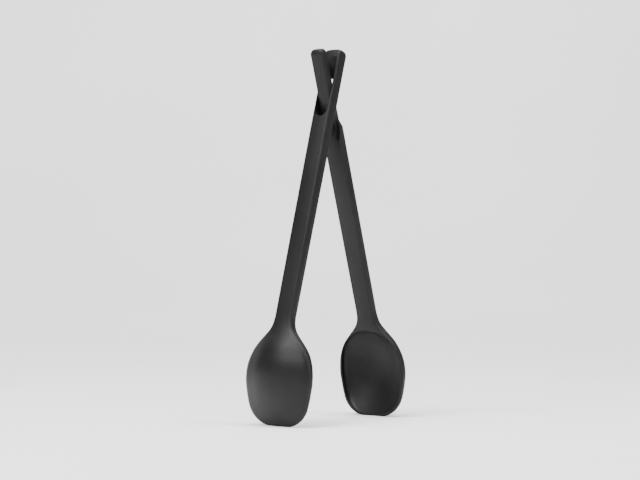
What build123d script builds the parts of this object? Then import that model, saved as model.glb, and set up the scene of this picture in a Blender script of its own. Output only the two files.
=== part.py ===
"""Crossed pair of moulded serving spoons that work as tongs.

The tongue arm's narrow neck passes through a long slot in the slotted arm's
handle and turns there on two small bosses.  Millimetres, +Z up, arms open
along X, arm width along Y, origin on the floor under the pivot.

Each arm is first made upright in its own frame, where the pivot is the
origin, the handle head points to +Z, the spoon to -Z, and the convex back
faces -X.  A station is a distance below the pivot.
"""
from build123d import *
import math
import os

# ---- whole pair ------------------------------------------------------------
HALF_ANGLE = 16.3          # lean of each arm from upright in the rest pose, degrees
PIVOT_HEIGHT = 243.6       # pivot axis above the floor the spoon tips stand on
HEAD_TOP = -39.0           # station of the rounded top of both handles
SPOON_TIP = 249.8          # station of the tip edge of both spoons

# ---- arm sections ----------------------------------------------------------
NECK = 172.0               # station of the narrowest place above the spoon
CORNER = 1.0               # edge radius along the arms
SLOTTED_WIDTH = 15.8       # slotted arm's width at the handle
SLOTTED_DEPTH = 9.6        # its thickness at the pivot
TONGUE_WIDTH = 17.0        # tongue arm's width below the shoulder
TONGUE_DEPTH = 7.6         # its thickness at the pivot
NECK_WIDTH = 16.2          # both arms just above the spoon
NECK_DEPTH = 7.6
HANDLE_WIDTH = 11.8        # tongue arm's narrow handle
SHOULDER_TOP = 15.5        # station where the narrow handle starts to widen
SHOULDER_END = 23.0        # station where the tongue arm has its full width
CHEEK_DEPTH = 4.5          # relief on the inner side of the shoulders, at their top
CHEEK_END = 33.0           # station where the shoulders' relief runs out
CHEEK_INSET = 0.2          # how far the relief cuts into the neck's own sides
HEAD_ROUND = 4.2           # length over which the handle tops round off
HEAD_PULL = 2.6            # how far their sides come in at the very top
HEAD_FLATTEN = 0.75        # share of that by which their faces come in
FACE_CROWN = 0.35          # how far the broad faces bulge
PARTING_RIDGE = 0.3        # how far the sides rise to the parting line at mid-thickness

# ---- slot and pivot --------------------------------------------------------
SIDE_GAP = 0.3             # tongue arm's neck to each wall of the slot
SLOT_BOTTOM = 14.5         # station of the slot's rounded lower end, on the back
SLOT_TOP = -33.0           # station where the scoop leaves the back of the head
SCOOP_FOOT = -18.0         # station where the scoop reaches the inner face
RAMP_TOP = 4.3             # the lower ramp's height over mid-thickness at the pivot
RAMP_FOOT = 31.0           # station where the lower ramp reaches the inner face
BOSS_RADIUS = 2.0
BOSS_REACH = 1.0           # boss height over the neck's side
SOCKET_DEPTH = 0.85        # blind socket in each slot wall
RUNNING_GAP = 0.06         # radial play of the boss in its socket

# ---- spoon -----------------------------------------------------------------
WALL = 2.6                 # wall at the bottom of the bowl
RIM = 2.0                  # rim width round the bowl
HOLLOW_START = 183.5       # station of the crisp arched edge of the hollow
ARCH_LENGTH = 25.0         # length over which the hollow reaches full width
BACK_CROWN = 0.30          # share of the bowl's depth in its back's middle bulge
FLANK_REACH = 0.38         # share of the half width in each rounded flank
FLANK_DEPTH = 0.60         # share of the bowl's depth in each rounded flank
BOWL_FORMED = 0.35         # share of the way to the tip where the bowl's full section starts
RIM_CORNER = 0.7           # edge radius of the rim
RIM_RIDGE = 0.02           # what is left of the parting ridge round the bowl
HOLLOW_CORNER = 0.3        # the hollowing shape's own edge, which lies clear of the rim
LEAST_HOLLOW = 0.15        # depth of the hollow where it runs out at the tip
TIP_ROUND = 15.5           # length over which the outline closes at the tip
TIP_FLAT = 0.20            # share of the width that stays flat at the tip edge
TIP_SQUARE = 2.3           # 2 closes the outline as an ellipse, more makes it squarer
TIP_THICK = 2.4            # thickness of the tip edge

RING_STEP = 5.0            # spacing of the sections down the arm

CUT_PAST = 3.0             # how far cutting shapes run past the faces they cut

SLOT_WIDTH = HANDLE_WIDTH + 2 * SIDE_GAP
KAPPA = 0.5523             # Bezier handle length of a quarter round

# Half width of the spoon's outline, share of the way from neck to tip
OUTLINE = [(0.0, NECK_WIDTH / 2), (0.07, 9.6), (0.14, 13.7), (0.21, 19.2),
           (0.29, 24.9), (0.38, 28.8), (0.48, 30.9), (0.57, 31.4),
           (0.70, 30.1), (0.84, 27.6), (1.0, 24.6)]
# Inner side of the rim from the arm's mid-plane, inward positive
RIM_LINE = [(0.0, NECK_DEPTH / 2), (0.25, 4.4), (0.5, 7.0), (0.75, 11.0), (1.0, 15.8)]
# Depth of the bowl from the rim to its convex back
BOWL_DEPTH = [(0.0, NECK_DEPTH), (0.12, 8.8), (0.3, 12.8), (0.5, 15.0),
              (0.68, 13.8), (0.85, 9.4), (1.0, TIP_THICK)]


def smooth(points, x):
    """Monotone cubic through the given (x, value) points."""
    xs = [p[0] for p in points]
    ys = [p[1] for p in points]
    if x <= xs[0]:
        return ys[0]
    if x >= xs[-1]:
        return ys[-1]
    steps = [(ys[i + 1] - ys[i]) / (xs[i + 1] - xs[i]) for i in range(len(xs) - 1)]
    slopes = [steps[0]]
    for left, right in zip(steps, steps[1:]):
        slopes.append(0.0 if left * right <= 0 else 2 * left * right / (left + right))
    slopes.append(steps[-1])
    i = max(k for k in range(len(xs) - 1) if xs[k] <= x)
    span = xs[i + 1] - xs[i]
    t = (x - xs[i]) / span
    rise = ys[i + 1] - ys[i]
    bend_in = span * slopes[i]
    bend_out = span * slopes[i + 1]
    return (ys[i] + bend_in * t + (3 * rise - 2 * bend_in - bend_out) * t**2
            + (bend_in + bend_out - 2 * rise) * t**3)


def ring(station, half_width, back, front, back_corner, front_corner,
         back_crown, front_crown, ridge=0.0):
    """Closed section across an arm: ten Bezier edges, smooth but for the side ridges.

    back and front are distances of the two faces from the mid-plane, outward
    positive; a corner is (reach along the width, reach through the depth); the
    half width is measured to the ridge that the mould's parting line leaves.
    """
    inner = half_width - ridge
    flat_b = inner - back_corner[0]
    flat_f = inner - front_corner[0]
    edge_b = back - back_crown
    edge_f = front + front_crown
    side_b = edge_b - back_corner[1]
    side_f = edge_f + front_corner[1]
    middle = (side_b + side_f) / 2
    lean = ridge / max(side_b - middle, ridge, 0.001)

    def at(y, n):
        return Vector(-n, y, -station)

    def face(flat, edge, crown, sign):
        third = 2 * flat / 3
        lift = sign * 4 * crown / 3
        return [at(-flat, edge), at(-flat + third, edge + lift),
                at(flat - third, edge + lift), at(flat, edge)]

    def corner(flat, edge, side, crown, y_sign):
        reach = (inner - flat) * KAPPA
        rise = (edge - side) * KAPPA
        drop = 2 * crown / flat * reach * math.copysign(1, rise)
        return [at(y_sign * flat, edge),
                at(y_sign * (flat + reach), edge - drop),
                at(y_sign * (inner - lean * abs(rise)), side + rise),
                at(y_sign * inner, side)]

    def wall(y_sign):
        return [[at(y_sign * inner, side_b), at(y_sign * half_width, middle)],
                [at(y_sign * half_width, middle), at(y_sign * inner, side_f)]]

    right = wall(1)
    left = wall(-1)
    curves = [
        face(flat_b, edge_b, back_crown, 1),
        corner(flat_b, edge_b, side_b, back_crown, 1),
        right[0],
        right[1],
        corner(flat_f, edge_f, side_f, front_crown, 1)[::-1],
        face(flat_f, edge_f, front_crown, -1)[::-1],
        corner(flat_f, edge_f, side_f, front_crown, -1),
        left[1][::-1],
        left[0][::-1],
        corner(flat_b, edge_b, side_b, back_crown, -1)[::-1],
    ]
    return Wire([Edge.make_bezier(*points) for points in curves])


def loft_rings(rings):
    return Solid.make_loft(rings, False)


def bar_ring(station, width, depth, shrink=0.0):
    """Section of the plain arm; shrink pulls its outline in near the head's top."""
    half_width = width / 2 - shrink
    half_depth = depth / 2 - shrink * HEAD_FLATTEN
    corner = (CORNER, CORNER)
    return ring(station, half_width, half_depth, -half_depth, corner, corner,
                FACE_CROWN, FACE_CROWN, PARTING_RIDGE)


def head_dome(width, depth):
    """Rounded top of a handle, from its small flat down to the full section."""
    rings = []
    for step in range(7):
        turn = math.radians(10 + 80 * step / 6)
        station = HEAD_TOP + HEAD_ROUND * (1 - math.cos(turn))
        rings.append(bar_ring(station, width, depth, HEAD_PULL * (1 - math.sin(turn))))
    return loft_rings(rings)


def straight_arm(width_at, depth_at, start, end, steps):
    rings = []
    for step in range(steps + 1):
        station = start + (end - start) * step / steps
        rings.append(bar_ring(station, width_at(station), depth_at(station)))
    return loft_rings(rings)


def along_spoon(station):
    return (station - NECK) / (SPOON_TIP - NECK)


def closing(left):
    """Share of the width that remains, left being the way to the tip still to go."""
    if left >= 1:
        return 1.0
    return TIP_FLAT + (1 - TIP_FLAT) * (1 - (1 - left) ** TIP_SQUARE) ** (1 / TIP_SQUARE)


def outline(station):
    """Half width of the spoon, closing in a rounded square tip."""
    half_width = smooth(OUTLINE, along_spoon(station))
    return half_width * closing((SPOON_TIP - station) / TIP_ROUND)


def spoon_ring(station, width_at, depth_at):
    """Outer section of arm and spoon together: squarish arm into a deep D."""
    share = along_spoon(station)
    if share <= 0:
        return bar_ring(station, width_at(station), depth_at(station))
    half_width = outline(station)
    front = -smooth(RIM_LINE, share)
    depth = smooth(BOWL_DEPTH, share)
    bowl = smooth([(0.0, 0.0), (BOWL_FORMED, 1.0), (1.0, 1.0)], share)
    spare = depth - CORNER
    crown = FACE_CROWN + bowl * (BACK_CROWN * spare - FACE_CROWN)
    corner_y = CORNER + bowl * (FLANK_REACH * half_width - CORNER)
    corner_n = CORNER + bowl * (FLANK_DEPTH * spare - CORNER)
    rim_corner = min(CORNER, RIM_CORNER + (1 - bowl) * CORNER, depth / 4)
    front_crown = FACE_CROWN * (1 - bowl)
    ridge = PARTING_RIDGE * (1 - bowl) + RIM_RIDGE * bowl
    return ring(station, half_width, front + depth, front,
                (corner_y, corner_n), (rim_corner, rim_corner), crown, front_crown, ridge)


def arm_and_spoon(start, width_at, depth_at):
    """The bar from a station down and the whole spoon below it, as one smooth skin."""
    bend = SPOON_TIP - TIP_ROUND
    count = round((bend - start) / RING_STEP)
    stations = [start + (bend - start) * k / count for k in range(count + 1)]
    tip_steps = 7
    for step in range(1, tip_steps + 1):
        turn = math.radians(90 * step / tip_steps)
        stations.append(SPOON_TIP - TIP_ROUND * (1 - math.sin(turn)))
    return loft_rings([spoon_ring(s, width_at, depth_at) for s in stations])


def hollow_ring(station, half_width, depth_share):
    share = along_spoon(station)
    rim = -smooth(RIM_LINE, share)
    depth = max((smooth(BOWL_DEPTH, share) - WALL) * depth_share, LEAST_HOLLOW)
    corner = (FLANK_REACH * half_width, FLANK_DEPTH * depth)
    outer = (HOLLOW_CORNER, HOLLOW_CORNER)
    return ring(station, half_width, rim + depth, rim - 2 * CUT_PAST, corner, outer,
                BACK_CROWN * depth, 0.0)


def hollow():
    """The space inside the spoon, with its crisp arched upper edge."""
    rings = []
    arch_end = HOLLOW_START + ARCH_LENGTH
    for step in range(9):
        turn = math.radians(7 + 83 * step / 8)
        station = HOLLOW_START + ARCH_LENGTH * (1 - math.cos(turn))
        width = (outline(arch_end) - RIM) * math.sin(turn)
        rings.append(hollow_ring(station, width, math.sin(turn) ** 0.8))
    tip = SPOON_TIP - RIM
    bend = tip - TIP_ROUND
    for step in range(1, 4):
        station = arch_end + (bend - arch_end) * step / 3
        rings.append(hollow_ring(station, outline(station) - RIM, 1.0))
    for step in range(1, 8):
        station = bend + TIP_ROUND * math.sin(math.radians(87 * step / 7))
        width = (smooth(OUTLINE, along_spoon(station)) - RIM) * closing((tip - station) / TIP_ROUND)
        rings.append(hollow_ring(station, width, 1.0))
    return loft_rings(rings)


def slab(points, half_width):
    """Prism across the arm's width from a (station, outward distance) outline."""
    corners = [Vector(-n, -half_width, -s) for s, n in points]
    face = Face(Wire.make_polygon(corners, close=True))
    return Solid.extrude(face, Vector(0, 2 * half_width, 0))


def slot_cutter():
    """Slot through the handle: scoop under the head, ramp behind the lower end."""
    half_slot = SLOT_WIDTH / 2
    face = SLOTTED_DEPTH / 2
    out = face + CUT_PAST
    end_centre = SLOT_BOTTOM - half_slot
    through = [(SCOOP_FOOT, -out), (SCOOP_FOOT, out), (end_centre, out), (end_centre, -out)]
    cutter = slab(through, half_slot)
    end = Cylinder(half_slot, 2 * out, rotation=(0, 90, 0))
    cutter = cutter + Location((0, 0, -end_centre)) * end
    scoop_run = CUT_PAST * (SLOT_TOP - SCOOP_FOOT) / SLOTTED_DEPTH
    scoop = [(0, -face), (SCOOP_FOOT, -face), (SLOT_TOP, face),
             (SLOT_TOP + scoop_run, out), (0, out)]
    cutter = cutter + slab(scoop, half_slot)
    ramp_run = CUT_PAST * RAMP_FOOT / (face + RAMP_TOP)
    ramp = [(0, RAMP_TOP), (RAMP_FOOT, -face), (RAMP_FOOT + ramp_run, -out), (0, -out)]
    return cutter + slab(ramp, half_slot)


def socket():
    """Two blind sockets for the bosses, one in each wall of the slot."""
    length = SLOT_WIDTH + 2 * SOCKET_DEPTH
    return Cylinder(BOSS_RADIUS + RUNNING_GAP, length, rotation=(90, 0, 0))


def slotted_arm():
    def width_at(station):
        return smooth([(0, SLOTTED_WIDTH), (NECK, NECK_WIDTH)], station)

    def depth_at(station):
        return smooth([(30, SLOTTED_DEPTH), (NECK, NECK_DEPTH)], station)

    body = head_dome(SLOTTED_WIDTH, SLOTTED_DEPTH)
    body = body + arm_and_spoon(HEAD_TOP + HEAD_ROUND, width_at, depth_at)
    return body - hollow() - slot_cutter() - socket()


def cheek_cutter():
    """Relief on the inner side of both shoulders, so that the pair can close."""
    inner = -TONGUE_DEPTH / 2
    run = CUT_PAST * (CHEEK_END - SHOULDER_TOP) / CHEEK_DEPTH
    relief = [(SHOULDER_TOP, inner + CHEEK_DEPTH), (CHEEK_END + run, inner - CUT_PAST),
              (SHOULDER_TOP, inner - CUT_PAST)]
    whole = slab(relief, TONGUE_WIDTH)
    far = CHEEK_END + 2 * run
    keep_half = HANDLE_WIDTH / 2 - CHEEK_INSET
    keep = slab([(0, -far), (0, far), (far, far), (far, -far)], keep_half)
    return whole - keep


def tongue_arm():
    def width_at(station):
        wide = smooth([(30, TONGUE_WIDTH), (NECK, NECK_WIDTH)], station)
        share = min(1, max(0, (station - SHOULDER_TOP) / (SHOULDER_END - SHOULDER_TOP)))
        return HANDLE_WIDTH + (wide - HANDLE_WIDTH) * share * share * (3 - 2 * share)

    def depth_at(station):
        return smooth([(0, TONGUE_DEPTH), (NECK, NECK_DEPTH)], station)

    body = head_dome(HANDLE_WIDTH, TONGUE_DEPTH)
    body = body + straight_arm(width_at, depth_at, HEAD_TOP + HEAD_ROUND, SHOULDER_TOP, 2)
    body = body + straight_arm(width_at, depth_at, SHOULDER_TOP, SHOULDER_END, 8)
    body = body + arm_and_spoon(SHOULDER_END, width_at, depth_at)
    body = body - hollow() - cheek_cutter()
    bosses = Cylinder(BOSS_RADIUS, HANDLE_WIDTH + 2 * BOSS_REACH, rotation=(90, 0, 0))
    return body + bosses


def placed(body, lean):
    """Lean an upright arm about the pivot axis and trim its tip edge level."""
    leaning = Location((0, 0, PIVOT_HEIGHT)) * Rotation(0, lean, 0) * body
    floor = Box(PIVOT_HEIGHT, PIVOT_HEIGHT, PIVOT_HEIGHT)
    return leaning - Location((0, 0, -PIVOT_HEIGHT / 2)) * floor


os.makedirs("parts", exist_ok=True)
parts = {
    "slotted_arm": placed(slotted_arm(), HALF_ANGLE),
    "tongue_arm": placed(tongue_arm().mirror(Plane.YZ), -HALF_ANGLE),
}
for name, part in parts.items():
    export_step(part, f"parts/{name}.step")
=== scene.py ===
"""Look of the crossed salad servers: matte black nylon on a pale studio floor."""
import math

import bpy
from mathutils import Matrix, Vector

# ---- camera, angles in degrees and lengths in metres -----------------------
AZIMUTH = -50.0          # 0 looks along +Y
ELEVATION = 0.55
DISTANCE = 1.58          # camera to the middle of the pair
CENTRE_HEIGHT = 0.1336   # height of the point the camera is square to
VIEW_WIDTH = 0.48512     # width of the picture, measured at the pair
VIEW_RIGHT = -0.00531    # picture's middle, rightwards from that point
VIEW_UP = 0.00349        # picture's middle, upwards from that point

# ---- stage -----------------------------------------------------------------
FLOOR_HALF = 3.0
BACKDROP_START = 1.2     # how far behind the pair the floor starts to curve up
BACKDROP_RADIUS = 0.9
BACKDROP_STEPS = 12      # flats in the curve
BACKDROP_TOP = 3.0


def add_node(tree, kind, **settings):
    """New shader node with its properties set."""
    node = tree.nodes.new(kind)
    for name, value in settings.items():
        setattr(node, name, value)
    return node


def noise(tree, place, scale, detail, roughness=0.5):
    """Height or cover map; scale is in features per metre."""
    node = add_node(tree, "ShaderNodeTexNoise")
    node.inputs["Scale"].default_value = scale
    node.inputs["Detail"].default_value = detail
    node.inputs["Roughness"].default_value = roughness
    tree.links.new(place, node.inputs["Vector"])
    return node.outputs["Fac"]


def ramp(tree, source, stops):
    """Grey levels along a map; stops are (place, level)."""
    node = add_node(tree, "ShaderNodeValToRGB")
    elements = node.color_ramp.elements
    for element, (place, level) in zip((elements[0], elements[1]), (stops[0], stops[-1])):
        element.position = place
        element.color = (level, level, level, 1.0)
    for place, level in stops[1:-1]:
        elements.new(place).color = (level, level, level, 1.0)
    tree.links.new(source, node.inputs["Fac"])
    return node.outputs["Color"]


def bump(tree, height, strength, distance, under=None):
    """Normal from a height map; distance is in metres, under is a normal below it."""
    node = add_node(tree, "ShaderNodeBump")
    node.inputs["Strength"].default_value = strength
    node.inputs["Distance"].default_value = distance
    tree.links.new(height, node.inputs["Height"])
    if under is not None:
        tree.links.new(under, node.inputs["Normal"])
    return node.outputs["Normal"]


def nylon():
    """Moulded black nylon: spark-eroded grain, faint flow clouds, specks of pale filler."""
    material = bpy.data.materials.new("black_nylon")
    material.use_nodes = True
    tree = material.node_tree
    shader = tree.nodes["Principled BSDF"]
    place = add_node(tree, "ShaderNodeTexCoord").outputs["Object"]

    cloud = noise(tree, place, 38.0, 4.0)
    speck = noise(tree, place, 1500.0, 2.0, 0.6)
    grain = noise(tree, place, 2600.0, 2.0, 0.7)
    flow = noise(tree, place, 9.0, 3.0)

    add = add_node(tree, "ShaderNodeMix", data_type="RGBA", blend_type="ADD")
    add.inputs["Factor"].default_value = 1.0
    body = ramp(tree, cloud, [(0.30, 0.0050), (0.55, 0.0065), (0.75, 0.0085)])
    filler = ramp(tree, speck, [(0.70, 0.0), (0.82, 0.022)])
    tree.links.new(body, add.inputs["A"])
    tree.links.new(filler, add.inputs["B"])
    tree.links.new(add.outputs["Result"], shader.inputs["Base Color"])

    rough = ramp(tree, flow, [(0.30, 0.40), (0.70, 0.50)])
    tree.links.new(rough, shader.inputs["Roughness"])
    shader.inputs["Specular IOR Level"].default_value = 0.22

    broad = bump(tree, cloud, 0.25, 0.0004)
    fine = bump(tree, grain, 0.32, 0.00006, broad)
    tree.links.new(fine, shader.inputs["Normal"])
    return material


def floor_paint():
    """Matte off-white with slow, faint changes of tone."""
    material = bpy.data.materials.new("pale_floor")
    material.use_nodes = True
    tree = material.node_tree
    shader = tree.nodes["Principled BSDF"]
    place = add_node(tree, "ShaderNodeTexCoord").outputs["Object"]
    cloud = noise(tree, place, 3.0, 3.0)
    colour = ramp(tree, cloud, [(0.3, 0.86), (0.7, 0.90)])
    tree.links.new(colour, shader.inputs["Base Color"])
    shader.inputs["Roughness"].default_value = 0.9
    return material


def floor():
    """Flat sheet that curves up behind the pair into a backdrop."""
    rows = [(-FLOOR_HALF, 0.0)]
    for step in range(BACKDROP_STEPS + 1):
        turn = math.radians(90 * step / BACKDROP_STEPS)
        rows.append((BACKDROP_START + BACKDROP_RADIUS * math.sin(turn),
                     BACKDROP_RADIUS * (1 - math.cos(turn))))
    rows.append((BACKDROP_START + BACKDROP_RADIUS, BACKDROP_TOP))
    points = []
    for away, height in rows:
        points.append((-FLOOR_HALF, away, height))
        points.append((FLOOR_HALF, away, height))
    faces = [(2 * k, 2 * k + 1, 2 * k + 3, 2 * k + 2) for k in range(len(rows) - 1)]
    mesh = bpy.data.meshes.new("floor")
    mesh.from_pydata(points, [], faces)
    mesh.polygons.foreach_set("use_smooth", [True] * len(faces))
    mesh.materials.append(floor_paint())
    sheet = bpy.data.objects.new("floor", mesh)
    bpy.context.scene.collection.objects.link(sheet)
    sheet.rotation_euler = (0, 0, math.radians(AZIMUTH))


def towards(azimuth, elevation):
    """Unit vector from the pair towards a place round it."""
    turn = math.radians(azimuth)
    lift = math.radians(elevation)
    flat = math.cos(lift)
    return Vector((math.sin(turn) * flat, -math.cos(turn) * flat, math.sin(lift)))


def put(thing, direction, distance, facing=None):
    """Place a lamp or camera round the pair; it faces back along facing."""
    bpy.context.scene.collection.objects.link(thing)
    thing.location = Vector((0, 0, CENTRE_HEIGHT)) + direction * distance
    thing.rotation_euler = (facing or direction).to_track_quat("Z", "Y").to_euler()


def area_light(name, size, power, direction, distance, facing=None):
    """Rectangular lamp; size is in metres and power in watts."""
    data = bpy.data.lights.new(name, "AREA")
    data.shape = "RECTANGLE"
    data.size = size[0]
    data.size_y = size[1]
    data.energy = power
    put(bpy.data.objects.new(name, data), direction, distance, facing)


def lights():
    """Soft lamps placed by their turn from the camera, and an even white world."""
    area_light("key_left", (0.7, 0.8), 26, towards(AZIMUTH - 48, 42), 1.5)
    area_light("strip_right", (0.18, 1.0), 12, towards(AZIMUTH + 62, 30), 1.5)
    area_light("top", (1.6, 1.2), 58, towards(AZIMUTH, 82), 1.5)
    area_light("backdrop_wash", (2.4, 0.8), 40, towards(AZIMUTH + 180, 55), 1.9,
               towards(AZIMUTH, 25))
    world = bpy.data.worlds.new("studio")
    world.use_nodes = True
    background = world.node_tree.nodes["Background"]
    background.inputs["Color"].default_value = (1.0, 1.0, 1.0, 1.0)
    background.inputs["Strength"].default_value = 0.28
    bpy.context.scene.world = world


def camera():
    """Camera facing the pair, shifted to the photograph's framing."""
    data = bpy.data.cameras.new("camera")
    data.sensor_fit = "HORIZONTAL"
    data.lens = data.sensor_width * DISTANCE / VIEW_WIDTH
    data.shift_x = VIEW_RIGHT / VIEW_WIDTH
    data.shift_y = VIEW_UP / VIEW_WIDTH
    seen_from = bpy.data.objects.new("camera", data)
    put(seen_from, towards(AZIMUTH, ELEVATION), DISTANCE)
    bpy.context.scene.camera = seen_from


def arms(frame):
    """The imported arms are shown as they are, in black nylon."""
    material = nylon()
    for name in ("slotted_arm", "tongue_arm"):
        arm = frame["nodes"][name]
        arm.data.materials.clear()
        arm.data.materials.append(material)


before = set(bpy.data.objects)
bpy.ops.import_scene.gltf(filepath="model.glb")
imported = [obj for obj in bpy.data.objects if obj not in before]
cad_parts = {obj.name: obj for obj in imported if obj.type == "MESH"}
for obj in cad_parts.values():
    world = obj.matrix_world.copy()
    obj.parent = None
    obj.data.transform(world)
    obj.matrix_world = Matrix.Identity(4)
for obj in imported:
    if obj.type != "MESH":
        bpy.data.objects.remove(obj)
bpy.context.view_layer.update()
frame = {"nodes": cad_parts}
arms(frame)
floor()
lights()
camera()
